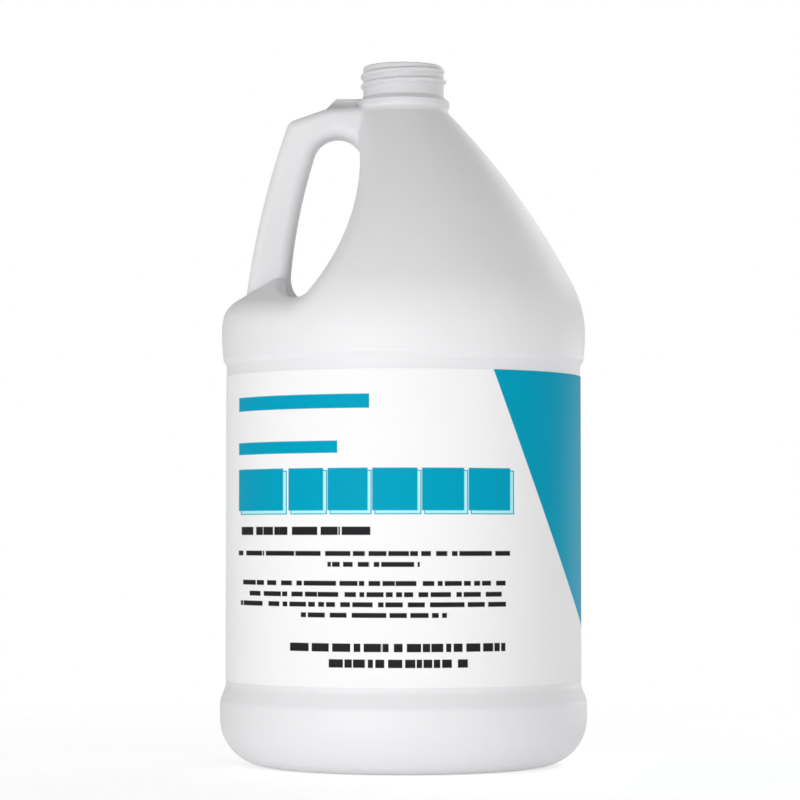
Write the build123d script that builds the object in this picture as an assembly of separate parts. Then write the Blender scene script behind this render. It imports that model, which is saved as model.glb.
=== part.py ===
# Round handled jug of about four litres, with an open screw neck and a wraparound label.
# Millimetres, Z up, origin at the centre of the base, handle on the -X side, front on the -Y side.
import os
from math import asin, cos, degrees, radians, tan
from build123d import *

# Overall
TOTAL_HEIGHT = 300.0
WALL = 1.0

# Foot and label panel
BODY_RADIUS = 78.5
HEEL_RADIUS = 20.0
STAND_RING_WIDTH = 8.5
STAND_RING_ROUND = 2.0
PUSH_UP = 6.0
FOOT_TOP = 27.5
FOOT_STEP_HEIGHT = 6.5
FOOT_BLEND = 6.0
PANEL_DEPTH = 2.5

# Bumper ring above the panel, drops measured down from the rim
BUMPER_DROP = 129.5
BUMPER_STEP_HEIGHT = 2.0
BUMPER_STEP = 1.3
BUMPER_BLEND = 1.4
BUMPER_SWELL = 0.8
CREST_DROP = 116.0

# Shoulder
SHOULDER_RADIUS = 46.0
SHOULDER_TURN = 27.5
COLLAR_BLEND = 5.0

# Neck finish, heights measured down from the rim
NECK_ROOT_RADIUS = 17.4
NECK_BORE_RADIUS = 15.2
NECK_BORE_DEPTH = 17.0
COLLAR_RADIUS = 19.2
COLLAR_BOTTOM = 19.9
BEAD_RADIUS = 19.9
BEAD_TOP = 15.4
BEAD_HEIGHT = 3.0
BEAD_SLOPE = 2.0
BEAD_ROUND = 0.5
RIM_ROUND = 0.9

# Scoop that makes room for the hand, seen from the front, its floor rising towards the grip
SCOOP_FLOOR_DROP = 109.5
SCOOP_FLOOR_SLOPE = 8.0
SCOOP_WALL_X = 18.5
SCOOP_WALL_DROP = 44.0
SCOOP_WALL_RADIUS = 90.0
SCOOP_WALL_TURN = 60.0
SCOOP_HEAD_RADIUS = 170.0
SCOOP_CORNER = 5.0
SCOOP_EDGE = 12.0

# Handle loop, seen from the front, drops measured down from the rim
HANDLE_THICKNESS = 22.0
HANDLE_TOP_DROP = 17.4
KNEE_X = 33.0
KNEE_DROP = 19.0
KNEE_ROUND = 15.0
CORNER_X = 49.3
CORNER_DROP = 24.8
CORNER_ROUND = 5.0
GRIP_OUTER_X = 68.8
GRIP_OUTER_BOW = 2.8
GRIP_INNER_X = 49.5
GRIP_INNER_BOW = 2.2
GRIP_TOE_ROUND = 14.0
ARCH_X = 38.6
ARCH_DROP = 38.5
HANDLE_OUTER_EDGE = 4.0
HANDLE_INNER_EDGE = 5.0
HANDLE_ROOT_ROUND = 3.0

# How far hidden ends of the handle run on inside the body
ARCH_SINK = 0.5
TOE_SINK = 0.4
TOE_LENGTH = 18.0
GRIP_SINK = 8.0
LEDGE_SINK = 2.4
NECK_SINK = 9.0

# Ledge cone that the grip stands on
LEDGE_CONE_INSET = 9.3
LEDGE_CONE_SLOPE = 39.0
LEDGE_CONE_EDGE = 4.0
LEDGE_TOE_ROUND = 5.5
LEDGE_SET_BACK = 0.6

# Web between the neck and the top of the handle
WEB_THICKNESS = 2.6
WEB_TOP_DROP = 13.9
WEB_LENGTH = 29.0
WEB_END_DROP = 3.4

# Label
LABEL_THICKNESS = 0.15
LABEL_FOOT_MARGIN = 2.2
LABEL_HEAD_MARGIN = 4.8
LABEL_LAP = 12.0

PANEL_RADIUS = BODY_RADIUS - PANEL_DEPTH
PANEL_FOOT = FOOT_TOP + FOOT_STEP_HEIGHT
PANEL_HEAD = TOTAL_HEIGHT - BUMPER_DROP
SCOOP_FLOOR = TOTAL_HEIGHT - SCOOP_FLOOR_DROP
KNEE = TOTAL_HEIGHT - KNEE_DROP
ARCH_SPRING = TOTAL_HEIGHT - ARCH_DROP
BEAD_LEVEL = TOTAL_HEIGHT - BEAD_TOP
BORE_LEVEL = TOTAL_HEIGHT - NECK_BORE_DEPTH
FAR = 2.0 * BODY_RADIUS
TOUCH = 0.001


def nearest(face, corner):
    return face.vertices().sort_by_distance(corner)[0]


def floor_at(x):
    """Height of the scoop's floor at a distance left of the axis."""
    return SCOOP_FLOOR + x * tan(radians(SCOOP_FLOOR_SLOPE))


def body_section(inset):
    """Section right of the axis up to the bead, X as radius and Y as height, drawn inset inwards."""
    ring_inner = (BODY_RADIUS - HEEL_RADIUS - STAND_RING_WIDTH, inset)
    ring_outer = (BODY_RADIUS - HEEL_RADIUS, inset)
    dome_top = (0, PUSH_UP + inset)
    panel_radius = PANEL_RADIUS - inset
    bumper_edge = panel_radius + BUMPER_STEP
    crest = (bumper_edge + BUMPER_SWELL, TOTAL_HEIGHT - CREST_DROP)
    foot_corner = (BODY_RADIUS - inset, FOOT_TOP)
    panel_foot = (panel_radius, PANEL_FOOT)
    panel_head = (panel_radius, PANEL_HEAD)
    bumper_foot = (bumper_edge, PANEL_HEAD + BUMPER_STEP_HEIGHT)
    collar_radius = COLLAR_RADIUS - inset
    collar_foot = (collar_radius, TOTAL_HEIGHT - COLLAR_BOTTOM - inset * tan(radians(20)))
    section_top = BORE_LEVEL + WALL - inset

    dome = TangentArc(dome_top, ring_inner, tangent=(1, 0))
    ring = Line(ring_inner, ring_outer)
    heel = JernArc(ring_outer, (1, 0), HEEL_RADIUS - inset, 90)
    wall = Polyline(heel @ 1, foot_corner, panel_foot, panel_head, bumper_foot)
    bumper = TangentArc(crest, bumper_foot, tangent=(0, -1))
    bend = JernArc(crest, (0, 1), SHOULDER_RADIUS - inset, SHOULDER_TURN)
    slope = TangentArc(bend @ 1, collar_foot, tangent=bend % 1)
    collar = Polyline(collar_foot, (collar_radius, section_top), (0, section_top), dome_top)
    face = make_face([dome, ring, heel, wall, bumper, bend, slope, collar])
    face = fillet(nearest(face, ring_inner), STAND_RING_ROUND - inset)
    face = fillet(nearest(face, foot_corner), FOOT_BLEND - inset)
    face = fillet(nearest(face, panel_foot), FOOT_BLEND + inset)
    face = fillet(nearest(face, panel_head), BUMPER_BLEND + inset)
    face = fillet(nearest(face, bumper_foot), BUMPER_BLEND - inset)
    return fillet(nearest(face, collar_foot), COLLAR_BLEND + inset)


def finish_section():
    """Section of the bead and the screw neck, right of the axis."""
    bead_edge = (BEAD_RADIUS, BEAD_LEVEL)
    bead_foot = (BEAD_RADIUS, BEAD_LEVEL - BEAD_HEIGHT + BEAD_RADIUS - COLLAR_RADIUS)
    neck_foot = (NECK_ROOT_RADIUS, BEAD_LEVEL + BEAD_SLOPE)
    rim = (NECK_ROOT_RADIUS, TOTAL_HEIGHT)
    under_bead = (COLLAR_RADIUS - BEAD_ROUND, BEAD_LEVEL - BEAD_HEIGHT - BEAD_ROUND)
    outline = Polyline(
        (0, under_bead[1]),
        under_bead,
        bead_foot,
        bead_edge,
        neck_foot,
        rim,
        (0, TOTAL_HEIGHT),
        close=True,
    )
    face = make_face(outline)
    rounded = [nearest(face, bead_edge), nearest(face, bead_foot), nearest(face, neck_foot)]
    face = fillet(rounded, BEAD_ROUND)
    return fillet(nearest(face, rim), RIM_ROUND)


def scoop_section(inset):
    """Room for the hand: everything left of the neck and above the ledge, grown by the inset."""
    ceiling = BEAD_LEVEL - BEAD_HEIGHT
    drop = inset / cos(radians(SCOOP_FLOOR_SLOPE))
    turn_level = TOTAL_HEIGHT - SCOOP_WALL_DROP
    head_radius = SCOOP_HEAD_RADIUS + inset
    turn = (inset - SCOOP_WALL_X, turn_level)
    wall = JernArc(turn, (0, -1), SCOOP_WALL_RADIUS + inset, -SCOOP_WALL_TURN)
    head = JernArc(turn, (0, 1), head_radius, degrees(asin((ceiling - turn_level) / head_radius)))
    rest = Polyline(wall @ 1, (-FAR, (wall @ 1).Y), (-FAR, ceiling), head @ 1)
    floor = Polyline((0, floor_at(0) - drop), (-FAR, floor_at(FAR) - drop), (-FAR, 0), (0, 0), close=True)
    face = make_face([wall, rest, head]) - make_face(floor)
    return fillet(face.vertices().sort_by(Axis.Y)[0], SCOOP_CORNER + inset)


def grip_inner_line():
    """Hand side of the grip, from the toe up to where the arch springs."""
    toe_corner = (-GRIP_INNER_X, floor_at(GRIP_INNER_X) - TOE_SINK)
    return SagittaArc(toe_corner, (-ARCH_X, ARCH_SPRING), GRIP_INNER_BOW)


def ledge_section():
    """Everything left of the hand side of the grip, down to a level inside the body."""
    inner = grip_inner_line()
    tip = GRIP_INNER_X - TOE_LENGTH
    base = floor_at(tip) - GRIP_SINK
    toe = floor_at(tip) - TOE_SINK
    rest = Polyline(inner @ 1, (-FAR, ARCH_SPRING), (-FAR, base), (-tip, base), (-tip, toe), inner @ 0)
    face = make_face([inner, rest])
    return fillet(nearest(face, inner @ 0), LEDGE_TOE_ROUND)


def handle_section():
    """Hook seen from the front: top bar, grip and toe, with ends that run on into the body."""
    knee = (-KNEE_X, KNEE)
    corner = (-CORNER_X, TOTAL_HEIGHT - CORNER_DROP)
    top_level = TOTAL_HEIGHT - HANDLE_TOP_DROP
    tip = GRIP_INNER_X - TOE_LENGTH
    grip_end = floor_at(tip) - GRIP_SINK
    inner = grip_inner_line()
    arch_end = (ARCH_SINK - SCOOP_WALL_X, ARCH_SPRING)
    arch = TangentArc(inner @ 1, arch_end, tangent=inner % 1)
    grip = SagittaArc(corner, (-GRIP_OUTER_X, grip_end), -GRIP_OUTER_BOW)
    top = Polyline(arch_end, (-NECK_SINK, ARCH_SPRING), (-NECK_SINK, top_level), knee, corner)
    foot = Polyline(grip @ 1, (-tip, grip_end), (-tip, floor_at(tip) - TOE_SINK), inner @ 0)
    face = make_face([top, grip, foot, inner, arch])
    face = fillet(nearest(face, inner @ 0), GRIP_TOE_ROUND)
    face = fillet(nearest(face, corner), CORNER_ROUND)
    return fillet(nearest(face, knee), KNEE_ROUND)


def core(inset):
    """Round body with the scoop cut out of its shoulder and the rim of the cut rounded."""
    body = revolve(Plane.XZ * body_section(inset), Axis.Z)
    body -= extrude(Plane.XZ * scoop_section(inset), FAR, both=True)
    rim_of_cut = body.edges().filter_by(GeomType.BSPLINE)
    return fillet(rim_of_cut, SCOOP_EDGE - inset)


def near_edges(part, x, half, z):
    """The edges on the front and back faces of a plate that pass nearest to one point."""
    return [part.edges().sort_by_distance((x, side, z))[0] for side in (-half, half)]


def handle(inset):
    """Handle loop with rounded edges, solid."""
    half = HANDLE_THICKNESS / 2 - inset
    face = handle_section()
    if inset:
        face = offset(face, -inset)
    plate = extrude(Plane.XZ * face, half, both=True)
    middle = (floor_at(GRIP_OUTER_X) + ARCH_SPRING) / 2
    outer = near_edges(plate, -GRIP_OUTER_X, half, middle)
    plate = fillet(outer, HANDLE_OUTER_EDGE - inset)
    inner = near_edges(plate, -ARCH_X, half, middle)
    return fillet(inner, HANDLE_INNER_EDGE - inset)


def ledge(inset):
    """Cone on the scoop's floor that carries the grip, cut off along the hand side of the grip."""
    rise = tan(radians(LEDGE_CONE_SLOPE))
    drop = inset / cos(radians(LEDGE_CONE_SLOPE))
    base = inset - GRIP_SINK
    skirt = -inset - LEDGE_SINK
    skirt_radius = BODY_RADIUS - LEDGE_CONE_INSET - (drop + skirt) / rise
    apex = skirt + skirt_radius * rise
    outline = Polyline((0, base), (skirt_radius, base), (skirt_radius, skirt), (0, apex), close=True)
    cone = revolve(Plane.XZ * make_face(outline), Axis.Z)
    cone = Pos(0, 0, SCOOP_FLOOR) * Rot(0, SCOOP_FLOOR_SLOPE, 0) * cone
    face = offset(ledge_section(), -inset - LEDGE_SET_BACK)
    foot = cone & extrude(Plane.XZ * face, FAR, both=True)
    ridge = foot.edges().sort_by_distance((-GRIP_INNER_X, 0, TOTAL_HEIGHT))[0]
    return fillet(ridge, LEDGE_CONE_EDGE - inset)


def web():
    """Thin upright web on the parting plane between the neck and the top of the handle."""
    low = KNEE - WEB_END_DROP
    top = TOTAL_HEIGHT - WEB_TOP_DROP
    outline = Polyline(
        (-NECK_BORE_RADIUS - WALL, low),
        (-NECK_BORE_RADIUS - WALL, top),
        (-WEB_LENGTH, top),
        (-WEB_LENGTH - top + low, low),
        close=True,
    )
    face = make_face(outline)
    return extrude(Plane.XZ * face, WEB_THICKNESS / 2, both=True)


def handled_core():
    """Outer body and handle in one, with a concave round where the top bar runs into the body."""
    body = core(0)
    loop = handle(0)
    joined = body + loop
    root = []
    for edge in joined.edges().filter_by_position(Axis.Z, ARCH_SPRING, BEAD_LEVEL):
        middle = Vertex(edge @ 0.5)
        on_body = min(face.distance_to(middle) for face in body.faces())
        on_loop = min(face.distance_to(middle) for face in loop.faces())
        if max(on_body, on_loop) < TOUCH:
            root.append(edge)
    return fillet(root, HANDLE_ROOT_ROUND)


def bottle():
    """The blown jug: the outer form less the same form drawn inwards by the wall."""
    outer = handled_core() + ledge(0)
    outer += revolve(Plane.XZ * finish_section(), Axis.Z)
    outer += web()
    inner = core(WALL) + handle(WALL) + ledge(WALL)
    mouth_depth = NECK_BORE_DEPTH + WALL
    mouth = Pos(0, 0, TOTAL_HEIGHT - mouth_depth / 2) * Cylinder(NECK_BORE_RADIUS, mouth_depth)
    return outer - inner - mouth


def label():
    """Wraparound strip on the panel, with its end lapped over its start at the back."""
    low = PANEL_FOOT + LABEL_FOOT_MARGIN
    height = PANEL_HEAD - LABEL_HEAD_MARGIN - low
    face_radius = PANEL_RADIUS + LABEL_THICKNESS
    panel = Cylinder(PANEL_RADIUS, height)
    strip = Cylinder(face_radius, height) - panel
    lap = Cylinder(face_radius + LABEL_THICKNESS, height) - panel
    lap &= Pos(0, PANEL_RADIUS, 0) * Box(LABEL_LAP, PANEL_RADIUS, height)
    return Pos(0, 0, low + height / 2) * (strip + lap)


os.makedirs("parts", exist_ok=True)
export_step(bottle(), "parts/bottle.step")
export_step(label(), "parts/label.step")
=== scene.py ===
import math

import bmesh
import bpy
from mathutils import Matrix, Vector
from mathutils.bvhtree import BVHTree


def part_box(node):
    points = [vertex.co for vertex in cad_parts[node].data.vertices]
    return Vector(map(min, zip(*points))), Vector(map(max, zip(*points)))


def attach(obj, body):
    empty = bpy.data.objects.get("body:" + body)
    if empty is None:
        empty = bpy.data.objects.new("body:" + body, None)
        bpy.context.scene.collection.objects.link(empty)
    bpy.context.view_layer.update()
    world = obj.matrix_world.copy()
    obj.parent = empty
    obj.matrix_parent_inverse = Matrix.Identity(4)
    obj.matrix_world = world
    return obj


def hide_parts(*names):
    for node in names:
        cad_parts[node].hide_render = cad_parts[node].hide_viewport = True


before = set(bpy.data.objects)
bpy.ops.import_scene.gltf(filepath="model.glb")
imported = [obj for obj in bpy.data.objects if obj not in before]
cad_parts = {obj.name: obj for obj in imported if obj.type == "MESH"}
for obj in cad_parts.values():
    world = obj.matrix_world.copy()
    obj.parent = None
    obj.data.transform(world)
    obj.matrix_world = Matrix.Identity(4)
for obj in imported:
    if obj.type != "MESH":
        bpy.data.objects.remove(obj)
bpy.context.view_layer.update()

MM = 0.001

# Sizes repeated from the solids, in metres
NECK_RADIUS = 0.0174
NECK_FOOT = 0.2866
PANEL_RADIUS = 0.0760
FILM_THICKNESS = 0.00015
FILM_LAP = 0.012
FILM_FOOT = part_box("label")[0][2]
FILM_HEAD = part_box("label")[1][2]

# Solids to meshes
JOIN_DISTANCE = 1e-6
JUG_CREASE = 24.0
JUG_EVENNESS = 60
INSIDE_LIFT = 1e-4

# Label film
FILM_STEPS = 480
FILM_LIP = 0.00006
FILM_CREASE = 25.0
LAP_SLOPE = 0.0014
LAP_STEP = 1e-4

# Screw thread
THREAD_PITCH = 0.00423
THREAD_TURNS = 1.70
THREAD_HEIGHT = 0.0011
THREAD_WIDTH = 0.0026
THREAD_CREST = 0.0009
THREAD_ROUND = 0.0004
THREAD_FRONT_LEVEL = 0.2968
THREAD_PAST_FRONT = 100.0
THREAD_RUNOUT = 14.0
THREAD_TIP = 0.04
THREAD_CREASE = 35.0

# Parting line and pinch-off of the mould
SEAM_WIDTH = 0.0011
SEAM_HEIGHT = 1.2
PINCH_WIDTH = 0.0030
PINCH_LEVEL = 0.009
PINCH_HEIGHT = 4.0

# Blown plastic
PLASTIC_DARK = (0.738, 0.738, 0.752, 1)
PLASTIC_LIGHT = (0.786, 0.786, 0.799, 1)
# Painted shade: a darker colour for the neck
NECK_SHADE_COLOUR = (0.674, 0.674, 0.687, 1)
NECK_SHADE_LEVEL = 0.281
NECK_SHADE_FADE = 0.012
LEVEL_FADE = 0.001
BLACK = (0, 0, 0, 1)
CAVITY_GLOW = (0.09, 0.09, 0.09, 1)

# Colours of the film
PAPER_DARK = (0.838, 0.838, 0.838, 1)
PAPER_LIGHT = (0.854, 0.854, 0.854, 1)
TEAL_DARK = (0.0, 0.314, 0.468, 1)
TEAL_LIGHT = (0.0, 0.329, 0.491, 1)
PALE_TEAL = (0.42, 0.80, 0.84, 1)
INK = (0.018, 0.018, 0.020, 1)

# Layout of the print in millimetres: x across, y to the back, z up
SIDE_FADE = 0.5
PRINT_FADE = 0.25
FIELD_FADE = 0.3
FIELD_SLANT = 0.366
FIELD_EDGE = 97.4
FIELD_END = 14.0
TOP_BARS = ((-69.0, -14.0, 149.6, 155.4), (-69.0, -27.0, 131.4, 136.4))
BLOCKS = (
    (-69.0, -49.5),
    (-47.3, -32.8),
    (-31.0, -14.6),
    (-12.8, 5.6),
    (7.4, 24.6),
    (26.4, 43.6),
)
BLOCK_FOOT = 108.0
BLOCK_HEAD = 125.3
THROW_LEFT = 0.9
THROW_RIGHT = 1.6
THROW_FOOT = 106.4
THROW_HEAD = 124.4
THROW_LINE = 0.4
FRONT_ROWS = (
    (99.7, 1.7, -69.0, -13.5),
    (90.5, 1.0, -69.0, 43.5),
    (86.1, 1.0, -31.0, 6.5),
    (78.4, 1.0, -67.0, 42.0),
    (73.9, 1.0, -64.0, 40.0),
    (69.8, 1.0, -68.0, 43.0),
    (65.5, 1.0, -42.0, 17.5),
    (52.4, 1.7, -46.5, 41.5),
    (46.0, 1.7, -30.5, 26.0),
)
FRONT_ROW_SEED = 31.7
BACK_COLUMNS = ((-58.0, -12.0), (12.0, 46.0))
BACK_BAR = (146.0, 151.0)
BACK_FOOT = 62.0
BACK_HEAD = 140.0
BACK_PITCH = 4.6
BACK_ROW_SEED = 23.9

# Camera, as fitted to the picture
CAMERA_PLACE = (-0.0015, -1.300, 0.098)
CAMERA_TILT = 2.557
FOCAL_PIXELS = 3023.0
PICTURE_PIXELS = 800.0
SENSOR_WIDTH = 36.0

# Softboxes: name, place, target, width, height, power
SOFTBOXES = (
    ("key", (-0.70, -1.45, 0.20), (0, 0, 0.15), 0.9, 0.36, 2.4),
    ("low_front", (-0.26, -0.58, 0.018), (0, 0, 0.14), 0.7, 0.03, 1.4),
    ("low_right", (0.42, -0.50, 0.018), (0, 0, 0.12), 0.6, 0.03, 0.36),
    ("back_high", (0.71, 1.00, 0.73), (0, 0, 0.20), 0.8, 0.4, 2.3),
    ("back_low", (0.92, 0.88, 0.10), (0, 0, 0.12), 0.6, 0.18, 1.1),
    ("from_below", (-0.08, -0.42, 0.004), (-0.08, -0.42, 1.0), 0.9, 0.36, 0.10),
)


class Wire:
    """A node socket that takes part in Python expressions."""

    def __init__(self, tree, socket):
        self.tree = tree
        self.socket = socket

    @classmethod
    def make(cls, tree, kind, settings=None, inputs=None, output=0):
        """Any node: its settings first, then its sockets, by name or by number."""
        node = tree.nodes.new(kind)
        for name, value in (settings or {}).items():
            setattr(node, name, value)
        for key, value in (inputs or {}).items():
            cls.feed(tree, node.inputs[key], value)
        return cls(tree, node.outputs[output])

    @staticmethod
    def feed(tree, socket, value):
        if isinstance(value, Wire):
            tree.links.new(value.socket, socket)
        else:
            socket.default_value = value

    def math(self, operation, *others, clamp=False):
        values = dict(enumerate((self,) + others))
        settings = {"operation": operation, "use_clamp": clamp}
        return Wire.make(self.tree, "ShaderNodeMath", settings, values)

    def __add__(self, other):
        return self.math("ADD", other)

    __radd__ = __add__

    def __sub__(self, other):
        return self.math("SUBTRACT", other)

    def __rsub__(self, other):
        return self.math("MULTIPLY_ADD", -1.0, other)

    def __mul__(self, other):
        return self.math("MULTIPLY", other)

    __rmul__ = __mul__

    def above(self, edge, soft):
        """0 below the edge, 1 above it."""
        return self.math("MULTIPLY_ADD", 1.0 / soft, 0.5 - edge / soft, clamp=True)

    def below(self, edge, soft):
        """1 below the edge, 0 above it."""
        return self.math("MULTIPLY_ADD", -1.0 / soft, 0.5 + edge / soft, clamp=True)

    def between(self, low, high, soft):
        return self.above(low, soft) * self.below(high, soft)

    def either(self, other):
        return self.math("MAXIMUM", other)


def new_material(name):
    material = bpy.data.materials.new(name)
    material.use_nodes = True
    tree = material.node_tree
    shader = tree.nodes["Principled BSDF"]
    place = Wire.make(tree, "ShaderNodeTexCoord", output="Object")
    return material, tree, shader, place


def split(place, axes="XYZ"):
    kind = "ShaderNodeSeparateXYZ"
    return [Wire.make(place.tree, kind, None, {0: place}, axis) for axis in axes]


def noise(place, scale, detail=2.0, stretch=None):
    if stretch:
        inputs = {"Vector": place, "Scale": stretch}
        place = Wire.make(place.tree, "ShaderNodeMapping", None, inputs)
    inputs = {"Vector": place, "Scale": scale, "Detail": detail}
    return Wire.make(place.tree, "ShaderNodeTexNoise", None, inputs)


def mix_colour(mask, first, second):
    inputs = {0: mask, 6: first, 7: second}
    return Wire.make(mask.tree, "ShaderNodeMix", {"data_type": "RGBA"}, inputs, 2)


def bump(shader, height, strength, distance):
    inputs = {"Height": height, "Strength": strength, "Distance": distance}
    normal = Wire.make(height.tree, "ShaderNodeBump", None, inputs)
    Wire.feed(height.tree, shader.inputs["Normal"], normal)


def blown_plastic():
    """White blown polyethylene: satin, with faint die streaks, soft waves, a smoother neck
    darkened by painted shade, and a cavity with a painted glow.
    """
    material, tree, shader, place = new_material("blown_plastic")
    y, z = split(place, "YZ")
    mottle = noise(place, 16.0)
    waves = noise(place, 55.0, 1.0)
    streaks = noise(place, 1.0, 3.0, (260, 260, 5))
    skin = noise(place, 2100.0, 2.0)
    neck = z.above(NECK_FOOT, LEVEL_FADE)

    tone = mottle * 0.7 + streaks * 0.3
    colour = mix_colour(tone, PLASTIC_DARK, PLASTIC_LIGHT)
    # Painted shade: the colour turns darker above this level on the neck
    colour = mix_colour(z.above(NECK_SHADE_LEVEL, NECK_SHADE_FADE), colour, NECK_SHADE_COLOUR)
    Wire.feed(tree, shader.inputs["Base Color"], colour)
    # Painted light: the faces of the cavity glow faintly, standing in for light through the wall
    inside = Wire.make(tree, "ShaderNodeAttribute", {"attribute_name": "inside"}, output="Fac")
    glow = mix_colour(inside, BLACK, CAVITY_GLOW)
    Wire.feed(tree, shader.inputs["Emission Color"], glow)
    shader.inputs["Emission Strength"].default_value = 1.0

    rough = 0.47 + (skin - 0.5) * 0.12 + (mottle - 0.5) * 0.10 + (streaks - 0.5) * 0.06
    Wire.feed(tree, shader.inputs["Roughness"], rough - neck * 0.12)
    aside = y.math("ABSOLUTE")
    seam = aside.below(0.0, SEAM_WIDTH) * SEAM_HEIGHT
    pinch = aside.below(0.0, PINCH_WIDTH) * z.below(PINCH_LEVEL, LEVEL_FADE) * PINCH_HEIGHT
    height = skin * (0.18 - neck * 0.12) + waves * 0.9 + streaks * 0.25 + seam + pinch
    bump(shader, height, 0.5, 0.00016)
    shader.inputs["IOR"].default_value = 1.5
    shader.inputs["Subsurface Weight"].default_value = 0.15
    shader.inputs["Subsurface Scale"].default_value = 0.004
    shader.inputs["Subsurface Radius"].default_value = (1.0, 1.0, 1.0)
    return material


def words(x, seed):
    """Breaks a line into dashes of uneven length."""
    settings = {"noise_dimensions": "1D"}
    inputs = {"W": x + seed, "Scale": 0.33, "Detail": 1.5}
    return Wire.make(x.tree, "ShaderNodeTexNoise", settings, inputs).above(0.40, 0.03)


def bar(x, z, left, right, foot, head):
    return x.between(left, right, PRINT_FADE) * z.between(foot, head, PRINT_FADE)


def printed_film():
    """White film with a slanted colour field, blocks, bars and dashes, and more rows behind."""
    material, tree, shader, place = new_material("printed_film")
    settings = {"operation": "SCALE"}
    inputs = {0: place, "Scale": 1.0 / MM}
    x, y, z = split(Wire.make(tree, "ShaderNodeVectorMath", settings, inputs))
    front = y.below(0.0, SIDE_FADE)
    back = y.above(0.0, SIDE_FADE)

    # Slanted field at the right that ends upright just behind the side, and bars at the upper left
    teal = (x + z * FIELD_SLANT).above(FIELD_EDGE, FIELD_FADE) * y.below(FIELD_END, FIELD_FADE)
    for left, right, foot, head in TOP_BARS:
        teal = teal.either(front * bar(x, z, left, right, foot, head))

    # Row of blocks, each with a pale edge thrown down and to the right inside a thin line
    pale = None
    for left, right in BLOCKS:
        block = front * bar(x, z, left, right, BLOCK_FOOT, BLOCK_HEAD)
        outer = (left + THROW_LEFT, right + THROW_RIGHT, THROW_FOOT, THROW_HEAD)
        inner = (
            outer[0] + THROW_LINE,
            outer[1] - THROW_LINE,
            outer[2] + THROW_LINE,
            outer[3] - THROW_LINE,
        )
        throw = front * bar(x, z, *outer)
        rim = throw * (1.0 - front * bar(x, z, *inner))
        teal = teal.either(block).either(rim)
        pale = throw if pale is None else pale.either(throw)

    # Rows of dashes on the front
    ink = None
    for number, (middle, half, left, right) in enumerate(FRONT_ROWS):
        line = front * bar(x, z, left, right, middle - half, middle + half)
        row = line * words(x, FRONT_ROW_SEED * number)
        ink = row if ink is None else ink.either(row)

    # Two columns of fine rows on the back, under colour bars
    for left, right in BACK_COLUMNS:
        teal = teal.either(back * bar(x, z, left, right, *BACK_BAR))
        step = (BACK_HEAD - z) * (1.0 / BACK_PITCH)
        count = step.math("FLOOR")
        across = (step - count).between(0.24, 0.62, 0.06)
        column = back * bar(x, z, left, right, BACK_FOOT, BACK_HEAD)
        ink = ink.either(column * across * words(x, count * BACK_ROW_SEED))

    grain = noise(place, 900.0, 2.0)
    sheet = noise(place, 30.0, 1.0)
    colour = mix_colour(pale, mix_colour(sheet, PAPER_DARK, PAPER_LIGHT), PALE_TEAL)
    colour = mix_colour(teal, colour, mix_colour(grain, TEAL_DARK, TEAL_LIGHT))
    colour = mix_colour(ink, colour, INK)
    Wire.feed(tree, shader.inputs["Base Color"], colour)
    printed = teal.either(ink)
    rough = 0.52 + (grain - 0.5) * 0.10 - printed * 0.06
    Wire.feed(tree, shader.inputs["Roughness"], rough)
    bump(shader, grain * 0.15 + sheet * 0.9 + printed * 0.1, 0.35, 0.00010)
    shader.inputs["IOR"].default_value = 1.48
    shader.inputs["Specular IOR Level"].default_value = 0.03
    return material


def link(name, data):
    thing = bpy.data.objects.new(name, data)
    bpy.context.scene.collection.objects.link(thing)
    return thing


def settle(piece):
    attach(piece, "root")


def shade(piece, crease):
    """Shades a piece smooth, with edges sharper than the crease angle kept."""
    for face in piece.data.polygons:
        face.use_smooth = True
    piece.data.set_sharp_from_angle(angle=math.radians(crease))


def baked(piece):
    """Turns a piece with modifiers into a plain mesh."""
    graph = bpy.context.evaluated_depsgraph_get()
    mesh = bpy.data.meshes.new_from_object(piece.evaluated_get(graph))
    piece.modifiers.clear()
    old = piece.data
    piece.data = mesh
    mesh.name = piece.name
    bpy.data.meshes.remove(old)
    return piece


def merged_copy(node_name, name):
    """A copy of a solid's mesh with its loose triangles joined."""
    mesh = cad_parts[node_name].data.copy()
    mesh.name = name
    work = bmesh.new()
    work.from_mesh(mesh)
    bmesh.ops.remove_doubles(work, verts=work.verts, dist=JOIN_DISTANCE)
    work.to_mesh(mesh)
    work.free()
    return link(name, mesh)


def mark_inside(mesh):
    """Marks the faces of the cavity, which glow faintly as if lit through the wall."""
    points = [vertex.co for vertex in mesh.vertices]
    skin = BVHTree.FromPolygons(points, [face.vertices for face in mesh.polygons])
    ways = ((1, 0, 0), (-1, 0, 0), (0, 1, 0), (0, -1, 0), (0, 0, -1))
    outward = [Vector(way) for way in ways]
    marks = []
    for face in mesh.polygons:
        start = face.center + face.normal * INSIDE_LIFT
        marks.append(float(all(skin.ray_cast(start, way)[0] is not None for way in outward)))
    mesh.attributes.new("inside", "FLOAT", "FACE").data.foreach_set("value", marks)


def make_jug(plastic):
    """The blown body, shaded smooth with its creases kept."""
    jug = merged_copy("bottle", "jug")
    jug.data.materials.clear()
    jug.data.materials.append(plastic)
    for face in jug.data.polygons:
        face.material_index = 0
    shade(jug, JUG_CREASE)
    even = jug.modifiers.new("even", "WEIGHTED_NORMAL")
    even.mode = "FACE_AREA"
    even.keep_sharp = True
    even.weight = JUG_EVENNESS
    baked(jug)
    mark_inside(jug.data)
    settle(jug)
    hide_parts("bottle")


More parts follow.
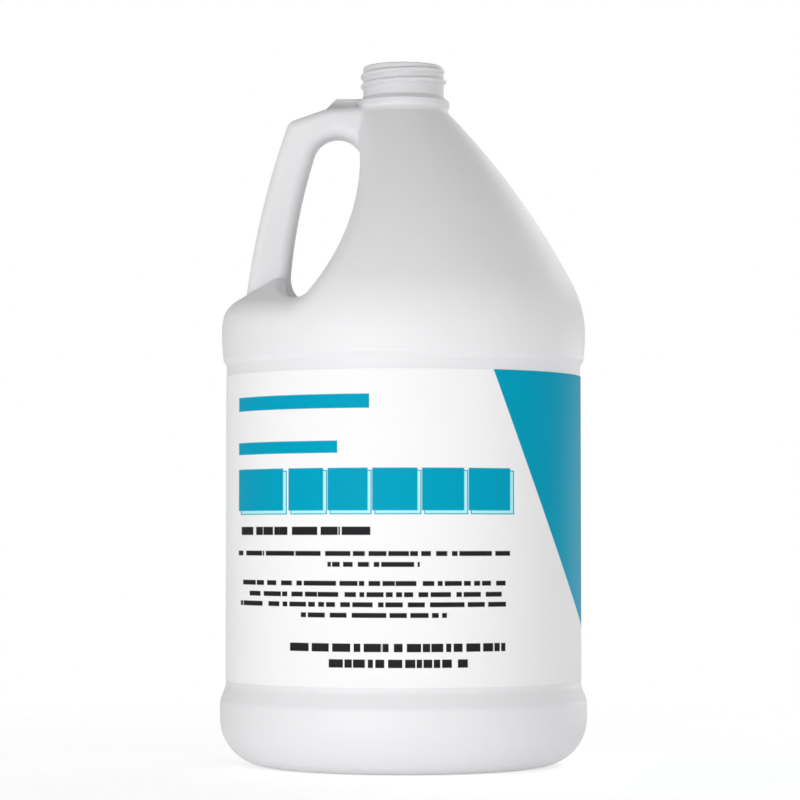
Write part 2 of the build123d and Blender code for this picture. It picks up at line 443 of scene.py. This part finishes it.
def make_film(ink):
    """The label: a thin band round the panel whose end laps over its start at the back."""
    half_lap = FILM_LAP / 2 / PANEL_RADIUS
    slope = LAP_SLOPE / PANEL_RADIUS
    angles = [2 * math.pi * i / FILM_STEPS for i in range(FILM_STEPS)]
    for edge in (-half_lap, half_lap - LAP_STEP, half_lap, slope - half_lap):
        angles.append((math.pi / 2 + edge) % (2 * math.pi))
    angles = sorted(set(angles))

    def outer(angle):
        turn = angle - math.pi / 2
        if turn < -half_lap - 1e-9 or turn > half_lap - LAP_STEP / 2:
            return PANEL_RADIUS + FILM_THICKNESS
        rise = min(1.0, (turn + half_lap) / slope)
        return PANEL_RADIUS + FILM_THICKNESS * (1.0 + rise)

    work = bmesh.new()
    rings = []
    for angle in angles:
        far = outer(angle)
        section = (
            (PANEL_RADIUS, FILM_FOOT),
            (far - FILM_LIP, FILM_FOOT),
            (far, FILM_FOOT + FILM_LIP),
            (far, FILM_HEAD - FILM_LIP),
            (far - FILM_LIP, FILM_HEAD),
            (PANEL_RADIUS, FILM_HEAD),
        )
        side, depth = math.cos(angle), math.sin(angle)
        rings.append([work.verts.new((r * side, r * depth, h)) for r, h in section])
    for ring, following in zip(rings, rings[1:] + rings[:1]):
        for i in range(len(ring)):
            j = (i + 1) % len(ring)
            work.faces.new((ring[i], following[i], following[j], ring[j]))
    bmesh.ops.recalc_face_normals(work, faces=work.faces)
    mesh = bpy.data.meshes.new("film")
    work.to_mesh(mesh)
    work.free()
    mesh.materials.append(ink)
    film = link("film", mesh)
    shade(film, FILM_CREASE)
    settle(film)
    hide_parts("label")


class Tree:
    """A geometry node tree with named inputs."""

    def __init__(self, name, **sizes):
        self.group = bpy.data.node_groups.new(name, "GeometryNodeTree")
        face = self.group.interface
        face.new_socket("Geometry", in_out="INPUT", socket_type="NodeSocketGeometry")
        face.new_socket("Geometry", in_out="OUTPUT", socket_type="NodeSocketGeometry")
        self.sizes = {}
        for title, value in sizes.items():
            socket = face.new_socket(title, in_out="INPUT", socket_type="NodeSocketFloat")
            self.sizes[socket.identifier] = value
        self.entry = self.group.nodes.new("NodeGroupInput")

    def size(self, title):
        return Wire(self.group, self.entry.outputs[title])

    def node(self, kind, settings=None, **inputs):
        named = {key.replace("_", " "): value for key, value in inputs.items()}
        return Wire.make(self.group, kind, settings, named)

    def finish(self, geometry, material):
        whole = self.node("GeometryNodeRealizeInstances", Geometry=geometry)
        coated = self.node("GeometryNodeSetMaterial", Geometry=whole, Material=material)
        leave = self.group.nodes.new("NodeGroupOutput")
        self.group.links.new(coated.socket, leave.inputs["Geometry"])

    def apply(self, piece):
        modifier = piece.modifiers.new("tree", "NODES")
        modifier.node_group = self.group
        for identifier, value in self.sizes.items():
            modifier[identifier] = value
        return baked(piece)


def make_thread(plastic):
    """Right-hand screw thread: a ridge along a helix, with ends that run out into the neck."""
    turns_past_front = THREAD_PAST_FRONT / 360.0
    tree = Tree(
        "screw_thread",
        Turns=THREAD_TURNS,
        Radius=NECK_RADIUS,
        Rise=THREAD_TURNS * THREAD_PITCH,
        Height=THREAD_HEIGHT,
        Width=THREAD_WIDTH,
        Crest=THREAD_CREST,
        Round=THREAD_ROUND,
        Foot=THREAD_FRONT_LEVEL + THREAD_PITCH * (turns_past_front - THREAD_TURNS),
        Turn=math.radians(THREAD_PAST_FRONT - 90.0 - 360.0 * THREAD_TURNS),
    )
    helix = tree.node(
        "GeometryNodeCurveSpiral",
        Resolution=96,
        Rotations=tree.size("Turns"),
        Start_Radius=tree.size("Radius"),
        End_Radius=tree.size("Radius"),
        Height=tree.size("Rise"),
        Reverse=True,
    )
    turned = tree.node("FunctionNodeAxisAngleToRotation", Axis=(0, 0, 1), Angle=tree.size("Turn"))
    lifted = tree.node("ShaderNodeCombineXYZ", Z=tree.size("Foot"))
    helix = tree.node("GeometryNodeTransform", Geometry=helix, Translation=lifted, Rotation=turned)
    helix = tree.node("GeometryNodeSetCurveNormal", {"mode": "Z_UP"}, Curve=helix)

    along = tree.node("GeometryNodeSplineParameter")
    start = along.math("MULTIPLY", THREAD_RUNOUT, clamp=True)
    stop = along.math("MULTIPLY_ADD", -THREAD_RUNOUT, THREAD_RUNOUT, clamp=True)
    swell = (start * stop).math("MULTIPLY_ADD", 1.0 - THREAD_TIP, THREAD_TIP)

    # The lower half of the section is sunk in the neck's wall, where it is wider
    section = tree.node(
        "GeometryNodeCurvePrimitiveQuadrilateral",
        {"mode": "TRAPEZOID"},
        Bottom_Width=tree.size("Width") * 1.5,
        Top_Width=tree.size("Crest"),
        Height=tree.size("Height") * 2.0,
        Offset=0.0,
    )
    section = tree.node(
        "GeometryNodeFilletCurve",
        {"mode": "POLY"},
        Curve=section,
        Count=4,
        Radius=tree.size("Round"),
    )
    section = tree.node("GeometryNodeTransform", Geometry=section, Rotation=(0, 0, -math.pi / 2))
    ridge = tree.node(
        "GeometryNodeCurveToMesh",
        Curve=helix,
        Profile_Curve=section,
        Scale=swell,
        Fill_Caps=True,
    )
    tree.finish(ridge, plastic)
    thread = tree.apply(link("neck_thread", bpy.data.meshes.new("neck_thread")))
    shade(thread, THREAD_CREASE)
    settle(thread)


def make_floor():
    """Pale floor that fades into the white background away from the jug and keeps its shadow."""
    bpy.ops.mesh.primitive_plane_add(size=8.0, location=(0, 0, 0))
    floor = bpy.context.object
    floor.name = "floor"
    material, tree, shader, place = new_material("pale_floor")
    shader.inputs["Base Color"].default_value = (0.92, 0.92, 0.92, 1)
    shader.inputs["Roughness"].default_value = 0.9
    shader.inputs["Specular IOR Level"].default_value = 0.1
    camera = Wire.make(tree, "ShaderNodeLightPath", output="Is Camera Ray")
    settings = {"operation": "LENGTH"}
    distance = Wire.make(tree, "ShaderNodeVectorMath", settings, {0: place}, "Value")
    fade = distance.above(0.30, 0.34)
    clear = Wire.make(tree, "ShaderNodeBsdfTransparent")
    glow = Wire.make(tree, "ShaderNodeEmission", None, {"Strength": 0.18 + camera * 0.26})
    plain = Wire(tree, shader.outputs[0])
    lit = Wire.make(tree, "ShaderNodeAddShader", None, {0: plain, 1: glow})
    mixed = Wire.make(tree, "ShaderNodeMixShader", None, {0: fade * camera, 1: lit, 2: clear})
    Wire.feed(tree, tree.nodes["Material Output"].inputs["Surface"], mixed)
    floor.data.materials.append(material)


def make_world():
    """White to the camera; on the jug a softer light, weaker from above, stronger at the right."""
    world = bpy.data.worlds.new("studio")
    bpy.context.scene.world = world
    world.use_nodes = True
    tree = world.node_tree
    background = tree.nodes["Background"]
    seen = Wire.make(tree, "ShaderNodeLightPath", output="Is Camera Ray")
    x, z = split(Wire.make(tree, "ShaderNodeTexCoord", output="Generated"), "XZ")
    soft = 0.70 - z.math("MAXIMUM", 0.0) * 0.32 + x.math("MAXIMUM", 0.0) * 0.04
    background.inputs["Color"].default_value = (1, 1, 1, 1)
    Wire.feed(tree, background.inputs["Strength"], seen + (1.0 - seen) * soft)


def add_softbox(name, place, target, width, height, power):
    data = bpy.data.lights.new(name, "AREA")
    data.shape = "RECTANGLE"
    data.size = width
    data.size_y = height
    data.energy = power
    lamp = link(name, data)
    lamp.visible_camera = False
    lamp.location = place
    aim = Vector(target) - Vector(place)
    lamp.rotation_euler = aim.to_track_quat("-Z", "Y").to_euler()


def make_camera():
    """Level with the middle of the label, 1.3 m away, turned up slightly as in the picture."""
    data = bpy.data.cameras.new("camera")
    data.sensor_width = SENSOR_WIDTH
    data.lens = FOCAL_PIXELS / PICTURE_PIXELS * SENSOR_WIDTH
    camera = link("camera", data)
    camera.location = CAMERA_PLACE
    camera.rotation_euler = (math.radians(90.0 + CAMERA_TILT), 0, 0)
    bpy.context.scene.camera = camera


plastic = blown_plastic()
make_jug(plastic)
make_film(printed_film())
make_thread(plastic)

make_floor()
make_world()
for softbox in SOFTBOXES:
    add_softbox(*softbox)
make_camera()
bpy.context.scene.view_settings.view_transform = "Standard"
